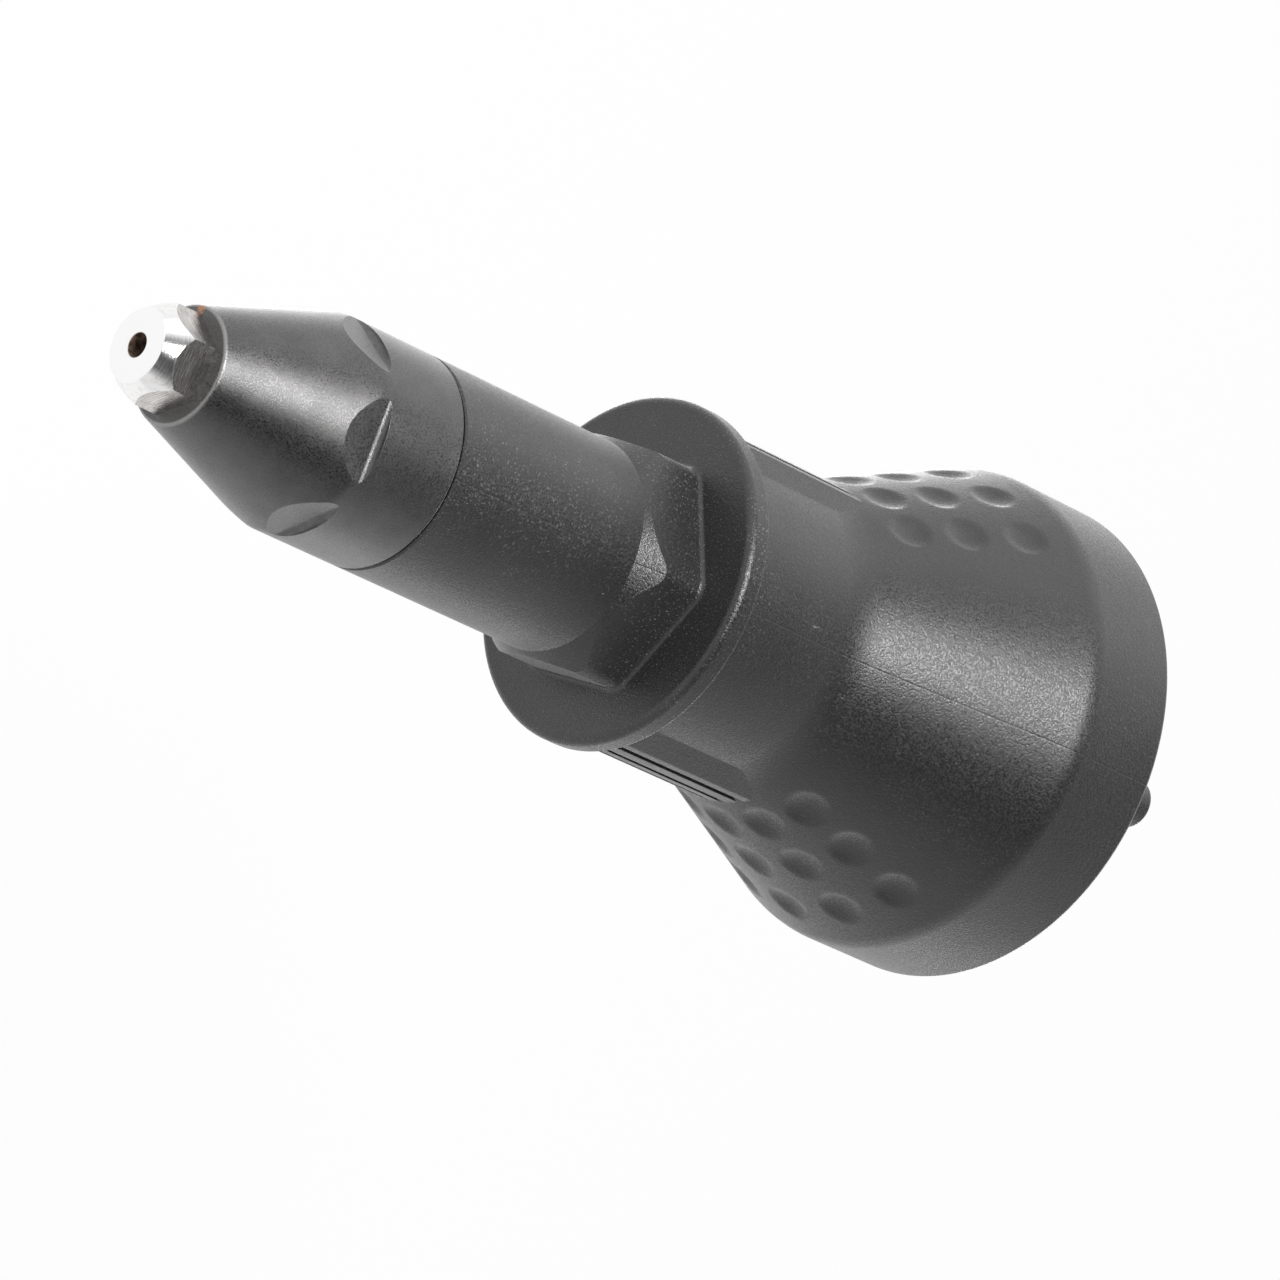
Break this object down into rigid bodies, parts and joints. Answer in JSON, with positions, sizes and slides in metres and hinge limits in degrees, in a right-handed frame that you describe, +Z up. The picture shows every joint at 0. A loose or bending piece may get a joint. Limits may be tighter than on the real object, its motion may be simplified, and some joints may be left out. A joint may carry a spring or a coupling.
{
  "type": "rivet drill adapter",
  "caption": "Blind-rivet adapter for a drill: hexagonal nosepiece, steel nose sleeve, moulded barrel with collar and flange, and a bell-shaped gear housing with a hexagonal shank.",
  "frame": {"origin": "centre of the nosepiece's face, where the rivet's mandrel enters", "axes": "+X along the tool from the nose to the drive shank, +Z up through the moulding's parting line, +Y through one of the ribbed side pads"},
  "size_m": [0.1912, 0.0698, 0.0698],
  "materials": {
    "chromed_steel": "bright chrome on turned steel",
    "black_oxide_steel": "black oxide, satin, worn bright at the edges",
    "black_plastic": "black glass-filled nylon with a spark-eroded grain",
    "turned_steel": "turned and ground",
    "hardened_steel": "hardened, dark grey",
    "gear_steel": "sintered, oiled",
    "bearing_steel": "ground and polished",
    "spring_steel": "drawn wire",
    "zinc_plated_steel": "bright zinc",
    "black_screw_steel": "black phosphate",
    "bronze": "sintered bronze, oiled",
    "brass": "pressed brass",
    "rubber": "nitrile rubber"
  },
  "bodies": {
    "tool_body": {"nosepiece": "chromed_steel", "nose_sleeve": "black_oxide_steel", "seal_ring": "rubber", "inner_tube": "turned_steel", "guide_bush": "bronze", "housing": "black_plastic", "thrust_race_front": "bearing_steel", "bearing_plate": "turned_steel", "plate_screws": "zinc_plated_steel", "spindle_bush": "bronze", "ring_gear": "gear_steel", "bearing_outer_race": "bearing_steel", "shaft_seal": "rubber", "rear_cover": "black_plastic", "cover_screws": "black_screw_steel"},
    "shank": {"drive_shank": "hardened_steel", "bearing_inner_race": "bearing_steel", "shank_circlip": "black_screw_steel"},
    "carrier": {"planet_carrier": "turned_steel", "carrier_plate": "turned_steel", "planet_pins": "hardened_steel", "lead_screw": "hardened_steel", "thrust_race_rear": "bearing_steel"},
    "planet_1": {"planet_gear_1": "gear_steel"},
    "planet_2": {"planet_gear_2": "gear_steel"},
    "planet_3": {"planet_gear_3": "gear_steel"},
    "drawbar": {"drawbar": "turned_steel", "drawbar_nut": "bronze", "guide_keys": "hardened_steel", "jaw_case": "hardened_steel", "jaw_spring": "spring_steel"},
    "pusher": {"jaw_pusher": "turned_steel"},
    "jaw_1": {"jaw_1": "hardened_steel"},
    "jaw_2": {"jaw_2": "hardened_steel"},
    "jaw_3": {"jaw_3": "hardened_steel"},
    "thrust_set": {"thrust_cage": "brass", "thrust_balls": "bearing_steel"},
    "bearing_set": {"bearing_cage": "brass", "bearing_balls": "bearing_steel"}
  },
  "joints": [
    {"name": "shank_turn", "type": "hinge", "parent": "tool_body", "child": "shank", "pos_m": [0.163, 0, 0], "axis": [-1, 0, 0], "range_deg": [0, 12964]},
    {"name": "carrier_turn", "type": "hinge", "parent": "tool_body", "child": "carrier", "pos_m": [0.144, 0, 0], "axis": [-1, 0, 0], "range_deg": [0, 3240]},
    {"name": "planet_1_turn", "type": "hinge", "parent": "carrier", "child": "planet_1", "pos_m": [0.151, 0, 0.018], "axis": [-1, 0, 0], "range_deg": [-9721, 0]},
    {"name": "planet_2_turn", "type": "hinge", "parent": "carrier", "child": "planet_2", "pos_m": [0.151, -0.01559, -0.009], "axis": [-1, 0, 0], "range_deg": [-9721, 0]},
    {"name": "planet_3_turn", "type": "hinge", "parent": "carrier", "child": "planet_3", "pos_m": [0.151, 0.01559, -0.009], "axis": [-1, 0, 0], "range_deg": [-9721, 0]},
    {"name": "drawbar_slide", "type": "slide", "parent": "tool_body", "child": "drawbar", "axis": [1, 0, 0], "range_m": [0, 0.01801]},
    {"name": "pusher_slide", "type": "slide", "parent": "drawbar", "child": "pusher", "axis": [-1, 0, 0], "range_m": [0, 0.00117], "deforming": ["jaw_spring"]},
    {"name": "jaw_1_slide", "type": "slide", "parent": "drawbar", "child": "jaw_1", "axis": [-0.9744, 0, -0.225], "range_m": [0, 0.00121]},
    {"name": "jaw_2_slide", "type": "slide", "parent": "drawbar", "child": "jaw_2", "axis": [-0.9744, 0.1948, 0.1125], "range_m": [0, 0.00121]},
    {"name": "jaw_3_slide", "type": "slide", "parent": "drawbar", "child": "jaw_3", "axis": [-0.9744, -0.1948, 0.1125], "range_m": [0, 0.00121]},
    {"name": "thrust_set_turn", "type": "hinge", "parent": "tool_body", "child": "thrust_set", "pos_m": [0.12205, 0, 0], "axis": [-1, 0, 0], "range_deg": [0, 1621]},
    {"name": "bearing_set_turn", "type": "hinge", "parent": "tool_body", "child": "bearing_set", "pos_m": [0.163, 0, 0], "axis": [-1, 0, 0], "range_deg": [0, 4938.76]}
  ],
  "couplings": [
    {"joint": "shank_turn", "follows": "carrier_turn", "ratio": 4},
    {"joint": "planet_1_turn", "follows": "carrier_turn", "ratio": -3},
    {"joint": "planet_2_turn", "follows": "carrier_turn", "ratio": -3},
    {"joint": "planet_3_turn", "follows": "carrier_turn", "ratio": -3},
    {"joint": "drawbar_slide", "follows": "carrier_turn", "m_per_rad": 0.00031831},
    {"joint": "pusher_slide", "follows": "carrier_turn", "m_per_rad": 0.000020677},
    {"joint": "jaw_1_slide", "follows": "carrier_turn", "m_per_rad": 0.000021221},
    {"joint": "jaw_2_slide", "follows": "carrier_turn", "m_per_rad": 0.000021221},
    {"joint": "jaw_3_slide", "follows": "carrier_turn", "m_per_rad": 0.000021221},
    {"joint": "thrust_set_turn", "follows": "carrier_turn", "ratio": 0.5},
    {"joint": "bearing_set_turn", "follows": "carrier_turn", "ratio": 1.524}
  ]
}
